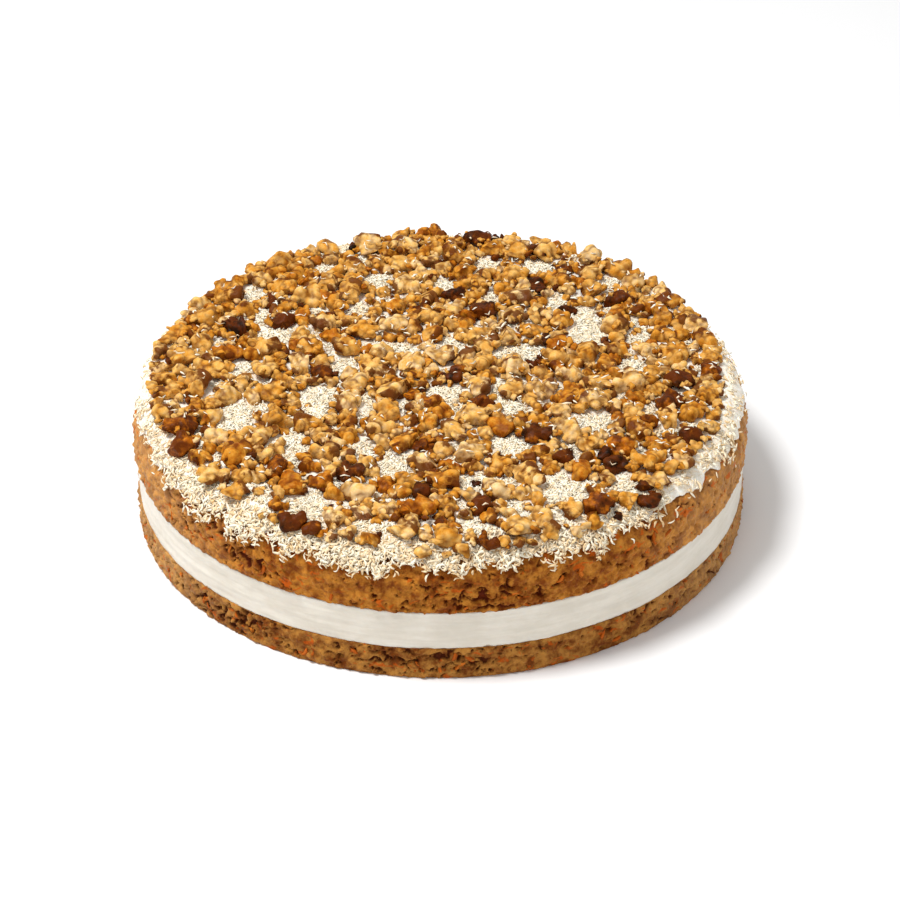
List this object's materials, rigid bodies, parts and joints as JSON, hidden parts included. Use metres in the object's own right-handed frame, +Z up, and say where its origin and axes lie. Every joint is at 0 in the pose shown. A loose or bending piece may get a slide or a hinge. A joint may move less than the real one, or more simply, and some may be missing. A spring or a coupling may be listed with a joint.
{
  "type": "carrot cake",
  "caption": "Round two-layer carrot cake with a thick cream filling, its top coated in cream and shredded coconut and covered with chopped walnuts.",
  "frame": {"origin": "middle of the flat base of the lower sponge, on the surface that the cake rests on", "axes": "+Z up through the middle of the round cake, -Y towards the front that the picture shows, +X to the right of it"},
  "size_m": [0.2311, 0.2317, 0.0596],
  "materials": {
    "lower_sponge": "matte, moist open crumb",
    "cream": "satin, smooth with faint level streaks",
    "upper_sponge": "matte, moist open crumb",
    "topping": "chopped walnuts on white coconut"
  },
  "bodies": {
    "root": {"sponge_bottom": "lower_sponge", "cream_filling": "cream", "sponge_top": "upper_sponge", "nut_topping": "topping"}
  },
  "joints": []
}
